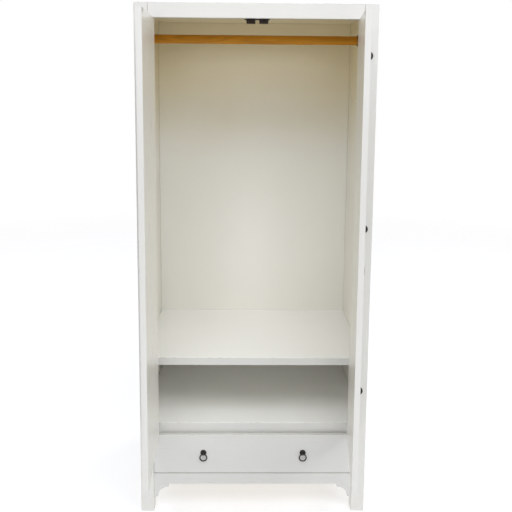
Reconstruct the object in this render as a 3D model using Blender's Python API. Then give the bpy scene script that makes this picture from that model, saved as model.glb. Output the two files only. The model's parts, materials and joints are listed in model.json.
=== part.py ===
"""A tall two-door wardrobe with a hanging rod, two shelves and one drawer, built as joinery.

Every sub-part is one named object. The doors stand open, as they are stored.
Lengths are in metres, +Z is up, the front faces -Y and the floor is Z = 0.
The origin is under the middle of the box that the wardrobe fills with its doors open.
"""

import math

import bmesh
import bpy
from mathutils import Matrix, Vector

# Carcass
HEIGHT = 1.900
WIDTH = 0.850
DEPTH = 0.620
POST = 0.0485
TOP_RAIL_HEIGHT = 0.052
RAIL_THICK = 0.030
RAIL_SETBACK = 0.0015
RAIL_TOP_SINK = 0.0005
SIDE_PANEL_THICK = 0.0097
SIDE_PANEL_SETBACK = 0.0043
BACK_PANEL_THICK = 0.0075
TOP_PANEL_THICK = 0.020
TOP_PANEL_SINK = 0.003
LOW_RAIL_BOTTOM = 0.110
LOW_RAIL_TOP = 0.1535

# Apron with its two corner spandrels
APRON_THICK = 0.022
APRON_SETBACK = 0.002
SPANDREL_WIDTH = 0.055
SPANDREL_HEIGHT = 0.052
SPANDREL_FOOT = 0.015
SPANDREL_STEP = 0.012

# Shelves, both set back to clear the closed doors
SHELF_SETBACK = 0.0205
MAIN_SHELF_TOP = 0.607
MAIN_SHELF_THICK = 0.029
LOWER_BOARD_TOP = 0.349
LOWER_BOARD_THICK = 0.018
LOWER_LIP_BOTTOM = 0.3075
LOWER_LIP_THICK = 0.020
LOWER_LIP_TOP_DOWN = 0.004

# Doors
DOOR_THICK = 0.0185
DOOR_BOTTOM = 0.3135
DOOR_TOP = 1.8455
DOOR_GAP = 0.0025
DOOR_FRAME = 0.050
DOOR_PANEL_SINK = 0.0035
LEFT_REST_ANGLE = 88.0
RIGHT_REST_ANGLE = 84.0

# Hinges: a round-ended leaf on the post and one on the door
AXIS_OUT = 0.003
HINGE_HEIGHTS = (0.487, 1.105, 1.723)
LEAF_THICK = 0.0012
LEAF_RADIUS = 0.0160
LEAF_REACH = 0.0335
BARREL_RADIUS = 0.0024
PIN_RADIUS = 0.0011
PIN_HOLE_RADIUS = 0.0014
MIDDLE_KNUCKLE = 0.010
LEAF_RELIEF = 0.0028
TUCK = 0.0002

# Drawer
DRAWER_BOTTOM = 0.1565
DRAWER_TOP = 0.3105
DRAWER_GAP = 0.0015
DRAWER_FRONT_THICK = 0.0185
DRAWER_SIDE_THICK = 0.012
DRAWER_SIDE_OUT = 0.3725
DRAWER_SIDE_BOTTOM = 0.1661
DRAWER_SIDE_TOP = 0.290
DRAWER_BACK_Y = 0.490
DRAWER_FLOOR_BOTTOM = 0.1715
DRAWER_FLOOR_THICK = 0.006
RUNNER_INNER = 0.355
RUNNER_GUIDE_INNER = 0.3768
RUNNER_LEDGE_TOP = 0.1658
RUNNER_GUIDE_TOP = 0.195

# Hanging rod and its sockets
ROD_RADIUS = 0.0175
ROD_HEIGHT = 1.7915
ROD_Y = 0.287
SOCKET_FLANGE = 0.029
SOCKET_FLANGE_THICK = 0.003
SOCKET_WALL = 0.0035
SOCKET_LENGTH = 0.014

# Double magnetic catch under the top rail, and its strike plates
CATCH_HALF_LENGTH = 0.0445
CATCH_SHIFT = 0.003
CATCH_BASE_THICK = 0.003
CATCH_DROP = 0.016
CATCH_Y = 0.0205
CATCH_DEPTH = 0.018
MAGNET_OFFSET = 0.0225
MAGNET_WIDTH = 0.0315
BLOCK_TOP_DOWN = 0.001
STRIKE_CLEARANCE = 0.0005
STRIKE_WIDTH = 0.030
STRIKE_HEIGHT = 0.013
STRIKE_THICK = 0.001

# Ring pulls: on the drawer each hangs from a domed rose, on a door in a sunk dish
PULL_X = 0.188
PULL_HEIGHT = 0.2388
ROSE_RADIUS = 0.0115
ROSE_RISE = 0.0032
DRAWER_RING_RADIUS = 0.0130
DRAWER_RING_WIRE = 0.0023
DRAWER_EYE_OUT = 0.0066
DRAWER_EYE_DROP = 0.0040
DRAWER_EYE_RADIUS = 0.0043
DRAWER_EYE_WIRE = 0.0011
DISH_HEIGHT = 1.050
DISH_FLANGE = 0.0195
DISH_BOWL = 0.0170
DISH_DEPTH = 0.0090
DISH_WALL = 0.0010
DISH_POCKET = 0.0177
DOOR_RING_RADIUS = 0.0118
DOOR_RING_WIRE = 0.0018
DOOR_EYE_SINK = 0.0045
DOOR_EYE_RADIUS = 0.0035
DOOR_EYE_WIRE = 0.0010

FIT = 0.0003
ARRIS = 0.0010
POCKET_CUTTER_OUT = 0.005
HOLE_CUTTER_REACH = 0.020

# Worked out from the above
OPENING = WIDTH / 2 - POST
PANEL_OUT = WIDTH / 2 - SIDE_PANEL_SETBACK
PANEL_IN = PANEL_OUT - SIDE_PANEL_THICK
RAIL_OUT = WIDTH / 2 - RAIL_SETBACK
RAIL_IN = RAIL_OUT - RAIL_THICK
REAR_POST = DEPTH - POST
BACK_PANEL_BACK = REAR_POST - FIT
BACK_PANEL_FRONT = BACK_PANEL_BACK - BACK_PANEL_THICK
TOP_RAIL_BOTTOM = HEIGHT - TOP_RAIL_HEIGHT
CEILING = HEIGHT - TOP_PANEL_SINK - TOP_PANEL_THICK
DOOR_PANEL_THICK = DOOR_THICK - DOOR_PANEL_SINK
AXIS_X = OPENING - DOOR_GAP / 2
DOOR_NEAR = DOOR_GAP / 2
DOOR_FAR = AXIS_X - DOOR_GAP / 2
REST_ANGLE = {"left": math.radians(LEFT_REST_ANGLE), "right": math.radians(RIGHT_REST_ANGLE)}
SIDES = {"left": -1, "right": 1}


def door_reach(angle):
    """How far an open door's free edge stands out in front of the posts."""
    return AXIS_OUT + DOOR_FAR * math.sin(angle) - AXIS_OUT * math.cos(angle)


FRONT = (max(door_reach(angle) for angle in REST_ANGLE.values()) - DEPTH) / 2


def clear_scene():
    for thing in list(bpy.data.objects):
        bpy.data.objects.remove(thing, do_unlink=True)


def finish(name, colour, roughness, metallic=0.0):
    """A plain material, (red, green, blue) in linear light."""
    material = bpy.data.materials.new(name)
    material.use_nodes = True
    shader = material.node_tree.nodes["Principled BSDF"]
    shader.inputs["Base Color"].default_value = (*colour, 1.0)
    shader.inputs["Roughness"].default_value = roughness
    shader.inputs["Metallic"].default_value = metallic
    return material


def add_object(name, mesh, look, parent=None):
    thing = bpy.data.objects.new(name, mesh)
    bpy.context.scene.collection.objects.link(thing)
    thing.parent = parent
    if look and not mesh.materials:
        mesh.materials.append(look)
    return thing


def mesh_of(name, points, faces):
    mesh = bpy.data.meshes.new(name)
    mesh.from_pydata([tuple(point) for point in points], [], faces)
    working = bmesh.new()
    working.from_mesh(mesh)
    bmesh.ops.recalc_face_normals(working, faces=working.faces)
    working.to_mesh(mesh)
    working.free()
    return mesh


def ease_edges(thing, width=ARRIS):
    """The small flat that a maker planes along every sharp edge."""
    bevel = thing.modifiers.new("eased edges", "BEVEL")
    bevel.width = width
    bevel.segments = 1
    bevel.limit_method = "ANGLE"
    bevel.angle_limit = math.radians(40)


def board(name, corner, far_corner, look, parent=None, eased=True):
    """A rectangular piece between two opposite corners."""
    low = [min(a, b) for a, b in zip(corner, far_corner)]
    high = [max(a, b) for a, b in zip(corner, far_corner)]
    points = [(x, y, z) for x in (low[0], high[0]) for y in (low[1], high[1]) for z in (low[2], high[2])]
    faces = [(0, 1, 3, 2), (4, 6, 7, 5), (0, 4, 5, 1), (2, 3, 7, 6), (0, 2, 6, 4), (1, 5, 7, 3)]
    thing = add_object(name, mesh_of(name, points, faces), look, parent)
    if eased:
        ease_edges(thing)
    return thing


def prism(name, outline, axis, start, end, look, parent=None, eased=True):
    """An outline of (u, v) points pushed along Y or Z from start to end."""
    place = {
        "Y": lambda u, v, w: (u, w, v),
        "Z": lambda u, v, w: (u, v, w),
    }[axis]
    count = len(outline)
    points = [place(u, v, w) for w in (start, end) for u, v in outline]
    faces = [tuple(range(count)), tuple(range(2 * count - 1, count - 1, -1))]
    faces += [(i, (i + 1) % count, count + (i + 1) % count, count + i) for i in range(count)]
    thing = add_object(name, mesh_of(name, points, faces), look, parent)
    if eased:
        ease_edges(thing)
    return thing


def turned(name, profile, segments, place, look, parent=None):
    """A turned piece: (radius, height) points round local Z, open or ending on the axis, then placed."""
    points = []
    rings = []
    for radius, height in profile:
        if radius == 0:
            rings.append([len(points)] * segments)
            points.append(place @ Vector((0, 0, height)))
            continue
        rings.append([len(points) + i for i in range(segments)])
        for i in range(segments):
            turn = 2 * math.pi * i / segments
            points.append(place @ Vector((radius * math.cos(turn), radius * math.sin(turn), height)))
    faces = []
    closed = profile[0][0] != 0
    for first, second in zip(rings, rings[1:] + rings[:1] if closed else rings[1:]):
        for i in range(segments):
            j = (i + 1) % segments
            corners = [first[i], first[j], second[j], second[i]]
            faces.append(tuple(dict.fromkeys(corners)))
    thing = add_object(name, mesh_of(name, points, faces), look, parent)
    thing.data.shade_smooth()
    thing.data.set_sharp_from_angle(angle=math.radians(40))
    return thing


def hoop(name, radius, wire, segments, sides, place, look, parent=None):
    """A ring of round wire about local Z."""
    circle = [2 * math.pi * k / sides for k in range(sides)]
    profile = [(radius + wire * math.cos(turn), wire * math.sin(turn)) for turn in circle]
    return turned(name, profile, segments, place, look, parent)


def rod_shape(name, radius, start, end, segments, place, look, parent=None):
    profile = [(0, start), (radius, start), (radius, end), (0, end)]
    return turned(name, profile, segments, place, look, parent)


def combine(base, other, operation):
    """Join another shape to a piece, or cut it out, with a Boolean."""
    change = base.modifiers.new(operation.lower(), "BOOLEAN")
    change.operation = operation
    change.solver = "EXACT"
    change.object = other
    other.hide_render = True
    other.display_type = "WIRE"


def facing(axis, centre):
    """Turns local Z to X or Y and moves it to a centre."""
    turn = {"X": Matrix.Rotation(math.pi / 2, 4, "Y"), "Y": Matrix.Rotation(math.pi / 2, 4, "X")}
    return Matrix.Translation(centre) @ turn.get(axis, Matrix.Identity(4))


def make_posts(paint):
    for side, sign in SIDES.items():
        for row, start in (("front", FRONT), ("rear", FRONT + REAR_POST)):
            corner = (sign * OPENING, start, 0)
            far_corner = (sign * WIDTH / 2, start + POST, HEIGHT)
            board(f"{row}_{side}_post", corner, far_corner, paint)


def make_top(paint):
    inner = OPENING - FIT
    rail_top = HEIGHT - RAIL_TOP_SINK
    front_end = FRONT + POST
    rear_start = FRONT + REAR_POST
    board("top_front_rail", (-inner, FRONT, TOP_RAIL_BOTTOM), (inner, front_end, rail_top), paint)
    rear_end = rear_start + RAIL_THICK
    board("top_rear_rail", (-inner, rear_start, TOP_RAIL_BOTTOM), (inner, rear_end, rail_top), paint)
    for side, sign in SIDES.items():
        corner = (sign * PANEL_IN, front_end + FIT, TOP_RAIL_BOTTOM)
        far_corner = (sign * RAIL_OUT, rear_start - FIT, rail_top)
        board(f"top_{side}_rail", corner, far_corner, paint)
    inner = PANEL_IN - FIT
    corner = (-inner, front_end + FIT, CEILING)
    board("top_panel", corner, (inner, rear_start - FIT, HEIGHT - TOP_PANEL_SINK), paint)


def make_sides_and_back(paint):
    for side, sign in SIDES.items():
        low = (sign * PANEL_IN, FRONT + POST + FIT, LOW_RAIL_TOP + FIT)
        high = (sign * PANEL_OUT, FRONT + BACK_PANEL_BACK, TOP_RAIL_BOTTOM - FIT)
        board(f"{side}_side_panel", low, high, paint, eased=False)
        low = (sign * RAIL_IN, FRONT + POST + FIT, LOW_RAIL_BOTTOM)
        high = (sign * RAIL_OUT, FRONT + REAR_POST - FIT, LOW_RAIL_TOP)
        board(f"lower_{side}_rail", low, high, paint)
    wide = PANEL_IN - FIT
    narrow = RAIL_IN - FIT
    shoulder = LOW_RAIL_TOP + FIT
    top = CEILING - FIT
    half = [(narrow, LOW_RAIL_BOTTOM), (narrow, shoulder), (wide, shoulder), (wide, top)]
    outline = half + [(-x, z) for x, z in reversed(half)]
    start, end = FRONT + BACK_PANEL_FRONT, FRONT + BACK_PANEL_BACK
    prism("back_panel", outline, "Y", start, end, paint, eased=False)


def make_apron(paint):
    """The front rail over the feet, with a stepped hollow in each lower corner."""
    out = OPENING - FIT
    foot = LOW_RAIL_BOTTOM - SPANDREL_HEIGHT
    centre_x = OPENING - SPANDREL_WIDTH
    reach = SPANDREL_WIDTH - SPANDREL_FOOT
    drop = SPANDREL_HEIGHT - SPANDREL_STEP
    half = [(out, LOW_RAIL_TOP), (out, foot)]
    for k in range(9):
        turn = math.pi / 2 * k / 8
        half.append((centre_x + reach * math.cos(turn), foot + drop * math.sin(turn)))
    half.append((centre_x, LOW_RAIL_BOTTOM))
    outline = half + [(-x, z) for x, z in reversed(half)]
    start = FRONT + APRON_SETBACK
    prism("apron", outline, "Y", start, start + APRON_THICK, paint, eased=False)


def notched_outline():
    """A shelf seen from above, cut round the front posts."""
    narrow = OPENING - FIT
    wide = PANEL_IN - FIT
    front = FRONT + SHELF_SETBACK
    notch = FRONT + POST + FIT
    back = FRONT + BACK_PANEL_FRONT - FIT
    half = [(narrow, front), (narrow, notch), (wide, notch), (wide, back)]
    return half + [(-x, y) for x, y in reversed(half)]


def make_shelves(paint):
    bottom = MAIN_SHELF_TOP - MAIN_SHELF_THICK
    prism("main_shelf", notched_outline(), "Z", bottom, MAIN_SHELF_TOP, paint)
    bottom = LOWER_BOARD_TOP - LOWER_BOARD_THICK
    shelf = prism("lower_board", notched_outline(), "Z", bottom, LOWER_BOARD_TOP, paint, eased=False)
    narrow = OPENING - FIT
    start = FRONT + SHELF_SETBACK
    corner = (-narrow, start, LOWER_LIP_BOTTOM)
    far_corner = (narrow, start + LOWER_LIP_THICK, LOWER_BOARD_TOP - LOWER_LIP_TOP_DOWN)
    combine(shelf, board("lower_board_lip", corner, far_corner, paint, eased=False), "UNION")
    ease_edges(shelf)


def make_rod(wood, metal):
    wall = PANEL_IN - FIT
    y = FRONT + ROD_Y
    end = wall - SOCKET_FLANGE_THICK - FIT
    rod_shape("hanging_rod", ROD_RADIUS, -end, end, 32, facing("X", (0, y, ROD_HEIGHT)), wood)
    hole = ROD_RADIUS + FIT
    for side, sign in SIDES.items():
        profile = [
            (0, 0),
            (SOCKET_FLANGE, 0),
            (SOCKET_FLANGE, SOCKET_FLANGE_THICK),
            (hole + SOCKET_WALL, SOCKET_FLANGE_THICK),
            (hole + SOCKET_WALL, SOCKET_LENGTH),
            (hole, SOCKET_LENGTH),
            (hole, SOCKET_FLANGE_THICK),
            (0, SOCKET_FLANGE_THICK),
        ]
        turn = Matrix.Rotation(-sign * math.pi / 2, 4, "Y")
        place = Matrix.Translation((sign * wall, y, ROD_HEIGHT)) @ turn
        turned(f"{side}_rod_socket", profile, 32, place, metal)


def make_catch(plastic):
    """One housing: a base screwed under the top rail and a block for each door's magnet."""
    top = TOP_RAIL_BOTTOM - FIT
    start = FRONT + CATCH_Y
    low = (CATCH_SHIFT - CATCH_HALF_LENGTH, start, top - CATCH_BASE_THICK)
    high = (CATCH_SHIFT + CATCH_HALF_LENGTH, start + CATCH_DEPTH, top)
    base = board("magnetic_catch", low, high, plastic, eased=False)
    for side, sign in SIDES.items():
        middle = CATCH_SHIFT + sign * MAGNET_OFFSET
        low = (middle - MAGNET_WIDTH / 2, start, top - CATCH_DROP)
        high = (middle + MAGNET_WIDTH / 2, start + CATCH_DEPTH, top - BLOCK_TOP_DOWN)
        block = board(f"{side}_magnet_block", low, high, plastic, eased=False)
        combine(base, block, "UNION")


def make_runners(wood):
    bottom = LOW_RAIL_TOP + FIT
    out = PANEL_IN - FIT
    outline = [
        (RUNNER_INNER, bottom),
        (out, bottom),
        (out, RUNNER_GUIDE_TOP),
        (RUNNER_GUIDE_INNER, RUNNER_GUIDE_TOP),
        (RUNNER_GUIDE_INNER, RUNNER_LEDGE_TOP),
        (RUNNER_INNER, RUNNER_LEDGE_TOP),
    ]
    start = FRONT + POST + FIT
    end = FRONT + BACK_PANEL_FRONT - FIT
    for side, sign in SIDES.items():
        mirrored = [(sign * x, z) for x, z in outline]
        prism(f"{side}_drawer_runner", mirrored, "Y", start, end, wood, eased=False)


def add_axis(name, location, turn=0.0):
    """An empty on a joint's axis, which its moving pieces hang from."""
    empty = bpy.data.objects.new(name, None)
    bpy.context.scene.collection.objects.link(empty)
    empty.location = location
    empty.rotation_euler = (0, 0, turn)
    return empty


def make_drawer(paint, wood):
    """The drawer's own frame has Y = 0 on the face of its front."""
    slide = add_axis("drawer_slide_axis", (0, FRONT, 0))
    half = OPENING - DRAWER_GAP
    board("drawer_front", (-half, 0, DRAWER_BOTTOM), (half, DRAWER_FRONT_THICK, DRAWER_TOP), paint, slide)
    start = DRAWER_FRONT_THICK + FIT
    inner = DRAWER_SIDE_OUT - DRAWER_SIDE_THICK
    for side, sign in SIDES.items():
        corner = (sign * inner, start, DRAWER_SIDE_BOTTOM)
        far_corner = (sign * DRAWER_SIDE_OUT, DRAWER_BACK_Y, DRAWER_SIDE_TOP)
        board(f"drawer_{side}_side", corner, far_corner, wood, slide)
    floor_top = DRAWER_FLOOR_BOTTOM + DRAWER_FLOOR_THICK
    inner -= FIT
    back_start = DRAWER_BACK_Y - DRAWER_SIDE_THICK
    corner = (-inner, back_start, floor_top + FIT)
    board("drawer_back", corner, (inner, DRAWER_BACK_Y, DRAWER_SIDE_TOP), wood, slide)
    corner = (-inner, start, DRAWER_FLOOR_BOTTOM)
    board("drawer_bottom", corner, (inner, DRAWER_BACK_Y, floor_top), wood, slide, eased=False)
    return slide


def make_drawer_pulls(metal, slide):
    """A domed rose with an eye, and a ring that hangs in the eye."""
    dome = [
        (0, FIT),
        (ROSE_RADIUS, FIT),
        (ROSE_RADIUS, FIT + 0.2 * ROSE_RISE),
        (0.90 * ROSE_RADIUS, FIT + 0.45 * ROSE_RISE),
        (0.65 * ROSE_RADIUS, FIT + 0.80 * ROSE_RISE),
        (0, FIT + ROSE_RISE),
    ]
    for side, sign in SIDES.items():
        x = sign * PULL_X
        place = Matrix.Translation((x, 0, PULL_HEIGHT)) @ Matrix.Rotation(math.pi / 2, 4, "X")
        rose = turned(f"drawer_{side}_pull_rose", dome, 24, place, metal, slide)
        pivot = Vector((x, -DRAWER_EYE_OUT, PULL_HEIGHT - DRAWER_EYE_DROP))
        eye = hoop(
            f"drawer_{side}_eye", DRAWER_EYE_RADIUS, DRAWER_EYE_WIRE, 16, 8, facing("X", pivot), metal, slide
        )
        combine(rose, eye, "UNION")
        axis = add_axis(f"drawer_{side}_ring_axis", pivot)
        axis.parent = slide
        hang = facing("Y", (0, 0, -DRAWER_RING_RADIUS))
        hoop(f"drawer_{side}_pull_ring", DRAWER_RING_RADIUS, DRAWER_RING_WIRE, 24, 8, hang, metal, axis)


def make_door_frame(side, sign, axis, paint):
    """A mitred frame round a panel. Local Y = AXIS_OUT is the outer face of the closed door."""
    near, far = DOOR_NEAR, DOOR_FAR
    low, high = DOOR_BOTTOM, DOOR_TOP
    width = DOOR_FRAME
    slack = FIT * math.sqrt(2)
    outer, inner = AXIS_OUT, AXIS_OUT + DOOR_THICK
    shapes = {
        "hinge_stile": [(near, low), (near + width, low + width), (near + width, high - width), (near, high)],
        "lock_stile": [(far, low), (far - width, low + width), (far - width, high - width), (far, high)],
        "bottom_rail": [
            (near + slack, low),
            (far - slack, low),
            (far - slack - width, low + width),
            (near + slack + width, low + width),
        ],
        "top_rail": [
            (near + slack, high),
            (far - slack, high),
            (far - slack - width, high - width),
            (near + slack + width, high - width),
        ],
    }
    pieces = {}
    for piece, outline in shapes.items():
        placed = [(-sign * x, z) for x, z in outline]
        pieces[piece] = prism(
            f"{side}_door_{piece}", placed, "Y", outer, inner, paint, axis, eased=piece != "lock_stile"
        )
    start = outer + DOOR_PANEL_SINK
    corner = (-sign * (near + width + FIT), start, low + width + FIT)
    far_corner = (-sign * (far - width - FIT), start + DOOR_PANEL_THICK, high - width - FIT)
    board(f"{side}_door_panel", corner, far_corner, paint, axis, eased=False)
    return pieces


def make_door_pull(side, sign, axis, stile, metal):
    """A dish sunk in the lock stile with a ring hanging inside it."""
    x = -sign * (DOOR_FAR - DOOR_FRAME / 2)
    centre = (x, AXIS_OUT, DISH_HEIGHT)
    inward = Matrix.Translation(centre) @ Matrix.Rotation(-math.pi / 2, 4, "X")
    pocket = rod_shape(
        f"{side}_pull_pocket", DISH_POCKET, -POCKET_CUTTER_OUT, DISH_DEPTH + FIT, 32, inward, None, axis
    )
    combine(stile, pocket, "DIFFERENCE")
    bowl = DISH_BOWL - DISH_WALL
    profile = [
        (0, DISH_DEPTH),
        (DISH_BOWL, DISH_DEPTH),
        (DISH_BOWL, -FIT),
        (DISH_FLANGE, -FIT),
        (DISH_FLANGE, -FIT - DISH_WALL),
        (bowl, -FIT - DISH_WALL),
        (bowl, DISH_DEPTH - DISH_WALL),
        (0, DISH_DEPTH - DISH_WALL),
    ]
    dish = turned(f"{side}_door_pull_dish", profile, 32, inward, metal, axis)
    pivot = Vector((x, AXIS_OUT + DOOR_EYE_SINK, DISH_HEIGHT + DOOR_RING_RADIUS))
    eye = hoop(f"{side}_door_eye", DOOR_EYE_RADIUS, DOOR_EYE_WIRE, 16, 8, facing("X", pivot), metal, axis)
    combine(dish, eye, "UNION")
    ring_axis = add_axis(f"{side}_door_ring_axis", pivot)
    ring_axis.parent = axis
    hang = facing("Y", (0, 0, -DOOR_RING_RADIUS))
    hoop(f"{side}_door_pull_ring", DOOR_RING_RADIUS, DOOR_RING_WIRE, 24, 8, hang, metal, ring_axis)


def make_strike(side, sign, axis, steel):
    far = AXIS_X - MAGNET_OFFSET - sign * CATCH_SHIFT
    inner = AXIS_OUT + DOOR_THICK + FIT
    top = TOP_RAIL_BOTTOM - FIT - CATCH_BASE_THICK - STRIKE_CLEARANCE
    corner = (-sign * (far - STRIKE_WIDTH / 2), inner, top - STRIKE_HEIGHT)
    far_corner = (-sign * (far + STRIKE_WIDTH / 2), inner + STRIKE_THICK, top)
    board(f"{side}_strike_plate", corner, far_corner, steel, axis, eased=False)


def leaf_outline(own_knuckles):
    """A leaf with a round end. Its straight edge is cut back beside the other leaf's knuckles."""
    end = LEAF_RADIUS
    middle = MIDDLE_KNUCKLE / 2
    split = middle + FIT + TUCK if own_knuckles == "outer" else middle - TUCK
    edge = {"outer": (0, LEAF_RELIEF), "middle": (LEAF_RELIEF, 0)}[own_knuckles]
    half = [(edge[1], split), (edge[0], split), (edge[0], end)]
    arc_centre = LEAF_REACH - LEAF_RADIUS
    for k in range(9):
        turn = math.pi / 2 * (1 - k / 8)
        half.append((arc_centre + LEAF_RADIUS * math.cos(turn), LEAF_RADIUS * math.sin(turn)))
    return half + [(x, -z) for x, z in reversed(half[:-1])]


def make_hinges(metal, door_axes):
    """Post leaves carry the outer knuckles and the pin; door leaves carry the middle knuckle."""
    plate_back = AXIS_OUT - FIT
    plate_front = plate_back - LEAF_THICK
    middle = MIDDLE_KNUCKLE / 2
    names = ("lower", "middle", "upper")
    for side, sign in SIDES.items():
        for level, height in zip(names, HINGE_HEIGHTS):
            here = Matrix.Translation((0, 0, height))
            fixed = add_axis(f"{side}_{level}_hinge_axis", (sign * AXIS_X, FRONT - AXIS_OUT, 0))
            outline = [(sign * x, z + height) for x, z in leaf_outline("outer")]
            name = f"{side}_{level}_hinge_post_leaf"
            leaf = prism(name, outline, "Y", plate_front, plate_back, metal, fixed, eased=False)
            end = LEAF_RADIUS + TUCK
            for low, high in ((middle + FIT, end), (-end, -middle - FIT)):
                knuckle = rod_shape(f"{name}_knuckle", BARREL_RADIUS, low, high, 16, here, metal, fixed)
                combine(leaf, knuckle, "UNION")
            reach = LEAF_RADIUS - 0.001
            pin = rod_shape(f"{name}_pin", PIN_RADIUS, -reach, reach, 12, here, metal, fixed)
            combine(leaf, pin, "UNION")

            outline = [(-sign * x, z + height) for x, z in leaf_outline("middle")]
            name = f"{side}_{level}_hinge_door_leaf"
            axis = door_axes[side]
            leaf = prism(name, outline, "Y", plate_front, plate_back, metal, axis, eased=False)
            knuckle = rod_shape(f"{name}_knuckle", BARREL_RADIUS, -middle, middle, 16, here, metal, axis)
            combine(leaf, knuckle, "UNION")
            reach = HOLE_CUTTER_REACH
            hole = rod_shape(f"{name}_hole", PIN_HOLE_RADIUS, -reach, reach, 12, here, None, axis)
            combine(leaf, hole, "DIFFERENCE")


def build():
    clear_scene()
    paint = finish("ivory lacquer", (0.79, 0.78, 0.74), 0.30)
    pale_wood = finish("drawer wood", (0.72, 0.66, 0.54), 0.55)
    rod_wood = finish("oiled rod wood", (0.27, 0.12, 0.02), 0.40)
    dark_metal = finish("blackened metal", (0.03, 0.028, 0.022), 0.38, 0.9)
    catch_plastic = finish("brown plastic", (0.06, 0.045, 0.03), 0.45)
    plate_steel = finish("plated steel", (0.55, 0.54, 0.50), 0.30, 1.0)

    make_posts(paint)
    make_top(paint)
    make_sides_and_back(paint)
    make_apron(paint)
    make_shelves(paint)
    make_rod(rod_wood, dark_metal)
    make_catch(catch_plastic)
    make_runners(pale_wood)
    slide = make_drawer(paint, pale_wood)
    make_drawer_pulls(dark_metal, slide)
    door_axes = {}
    for side, sign in SIDES.items():
        location = (sign * AXIS_X, FRONT - AXIS_OUT, 0)
        axis = add_axis(f"{side}_door_axis", location, sign * REST_ANGLE[side])
        door_axes[side] = axis
        pieces = make_door_frame(side, sign, axis, paint)
        make_door_pull(side, sign, axis, pieces["lock_stile"], dark_metal)
        make_strike(side, sign, axis, plate_steel)
    make_hinges(dark_metal, door_axes)


build()
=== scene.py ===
"""The looks of a two-door wardrobe in ivory lacquer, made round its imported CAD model.

Every CAD piece gets a finished piece in its own place, with rounded arrises and a finish from nodes.
Screws, pins, beads and dovetails are added. Lengths are in metres, and the front faces -Y.
"""

import json
import math

import bmesh
import bpy
from mathutils import Matrix, Vector


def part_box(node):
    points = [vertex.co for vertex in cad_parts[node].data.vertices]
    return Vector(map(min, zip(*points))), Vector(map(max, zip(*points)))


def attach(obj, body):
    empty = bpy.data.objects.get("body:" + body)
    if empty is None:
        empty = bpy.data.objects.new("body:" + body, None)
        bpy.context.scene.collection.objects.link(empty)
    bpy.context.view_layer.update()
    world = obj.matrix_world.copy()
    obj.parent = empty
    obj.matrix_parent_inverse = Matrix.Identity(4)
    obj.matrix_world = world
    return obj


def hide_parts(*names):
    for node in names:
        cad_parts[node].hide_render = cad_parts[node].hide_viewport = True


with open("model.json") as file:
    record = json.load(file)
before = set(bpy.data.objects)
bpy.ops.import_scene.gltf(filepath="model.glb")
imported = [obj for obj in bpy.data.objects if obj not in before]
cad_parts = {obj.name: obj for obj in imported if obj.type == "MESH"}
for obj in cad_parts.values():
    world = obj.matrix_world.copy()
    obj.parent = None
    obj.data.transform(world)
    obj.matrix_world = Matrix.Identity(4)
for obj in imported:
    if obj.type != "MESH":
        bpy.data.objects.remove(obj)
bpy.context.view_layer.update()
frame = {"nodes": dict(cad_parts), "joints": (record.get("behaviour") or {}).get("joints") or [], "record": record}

# Arrises: how far each kind is rounded, and how sharply two faces turn at an eased edge and at a square one
SOFT_ARRIS = 0.0009
FINE_ARRIS = 0.0004
METAL_ARRIS = 0.00022
PLASTIC_ARRIS = 0.0007
EASED_EDGE = math.radians(30)
SQUARE_EDGE = math.radians(60)
SMOOTH_ANGLE = math.radians(40)

# Working meshes: points closer than WELD are one, joints flatter than FLAT_ANGLE go, faces narrower than
# NARROW_FACE are arrises, and a face looks along a way when its normal has at least the share FACING of it
WELD = 0.00002
FLAT_ANGLE = math.radians(0.5)
NARROW_FACE = 0.0016
FACING = 0.6
BROAD_FACE_WEIGHT = 50

# The quarter-round bead round each door panel
BEAD = 0.0032
BEAD_STEPS = 5
BEAD_SINK = 0.0001
BEAD_SMOOTH_ANGLE = math.radians(50)

# Lacquer: how far a brush mark is drawn out along the board, how many of each mark there are to the metre,
# and how strongly the worn patches show
DRAWN_OUT = 0.035
BRUSH_MARKS = 380
BROAD_MARKS = BRUSH_MARKS / 14
ORANGE_PEEL = 620
CLOUDS = 2.3
WORN_PATCHES = 55
WEAR = 0.55
INSIDE_GLOSS = 0.36

# Wood: how far the growth rings, fibres and pores are drawn out, and how many there are to the metre
RINGS_DRAWN_OUT = 0.06
FIBRES_DRAWN_OUT = 0.015
PORES_DRAWN_OUT = 0.03
RING_WANDER = 9
FIBRES = 900
PORES = 520

# Screws and pins: the radius of a head, how far it stands above the surface and how far it is sunk in
HINGE_SCREW = 0.0024
STRIKE_SCREW = 0.0026
CATCH_SCREW = 0.0025
SOCKET_SCREW = 0.0021
SCREW_RISE = 0.0005
STRIKE_SCREW_RISE = 0.0002
SCREW_BURY = 0.00025
PIN_HEAD = 0.0017
PIN_RISE = 0.0004
TIP_RADIUS = 0.0023
TIP_RISE = 0.0013
SCREW_SEED = 3
DOOR_SCREW_SEED = 5

# Where they go: pins' spacing and end margins, the strike's screws as shares of its width, and a hinge
# leaf's as shares of its reach and half height
PIN_SPACING = 0.095
PIN_MARGIN = 0.025
BOTTOM_NAILS = 7
BOTTOM_NAIL_MARGIN = 0.03
BOTTOM_NAIL_INSET = 0.006
STRIKE_SCREWS = (0.2, 0.8)
LEAF_SCREWS = ((0.42, 0.62), (0.42, -0.62), (0.76, 0.0))
LEAF_THICK = 0.0015
CATCH_SCREW_INSET = 0.0035
CATCH_BASE_THICK = 0.003

# Catch: how far each magnet is from the middle and its pole plates from it, their sizes, and how far they are
# behind the housing's front and above its bottom
MAGNET_OFFSET = 0.0225
MAGNET_REACH = 0.0092
POLE_PLATE = Vector((0.0014, 0.0108, 0.0108))
MAGNET_BLOCK = Vector((0.0150, 0.0100, 0.0094))
POLE_PLATE_BACK = 0.0051
MAGNET_BACK = 0.0048
MAGNET_UP = 0.0062
BLOCK_EASE = 0.0002

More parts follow.
